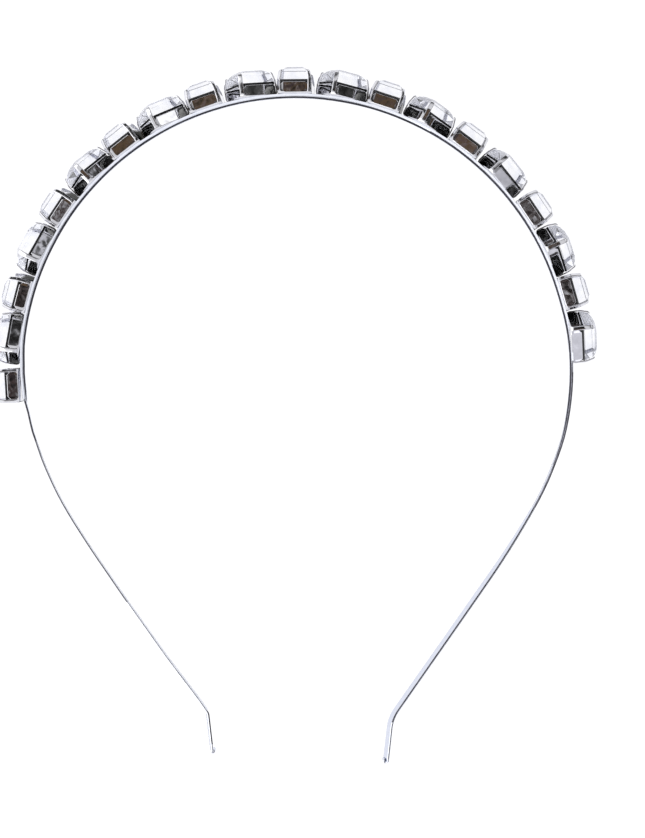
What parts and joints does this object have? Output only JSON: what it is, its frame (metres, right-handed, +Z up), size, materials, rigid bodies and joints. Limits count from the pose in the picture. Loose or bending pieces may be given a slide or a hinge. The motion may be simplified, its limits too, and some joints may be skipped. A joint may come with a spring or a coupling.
{
  "type": "crystal headband",
  "caption": "Narrow sprung metal headband with a row of claw-set, rectangular step-cut clear crystals, straight and turned in turn, and bent rolled tips.",
  "frame": {"origin": "centre of the round part that goes over the head, at the height of the surface that the headband lies on", "axes": "+Y towards the top of the head, +X to the right as seen from above, +Z up from the surface, across the strip"},
  "size_m": [0.1508, 0.1736, 0.013],
  "materials": {
    "silver_plate": "mirror-bright silver plate on stamped and soldered metal",
    "clear_crystal": "polished clear step-cut crystal glass"
  },
  "bodies": {
    "root": {"band_with_settings": "silver_plate", "stone_01": "clear_crystal", "stone_02": "clear_crystal", "stone_03": "clear_crystal", "stone_04": "clear_crystal", "stone_05": "clear_crystal", "stone_06": "clear_crystal", "stone_07": "clear_crystal", "stone_08": "clear_crystal", "stone_09": "clear_crystal", "stone_10": "clear_crystal", "stone_11": "clear_crystal", "stone_12": "clear_crystal", "stone_13": "clear_crystal", "stone_14": "clear_crystal", "stone_15": "clear_crystal", "stone_16": "clear_crystal", "stone_17": "clear_crystal", "stone_18": "clear_crystal", "stone_19": "clear_crystal", "stone_20": "clear_crystal"}
  },
  "joints": []
}
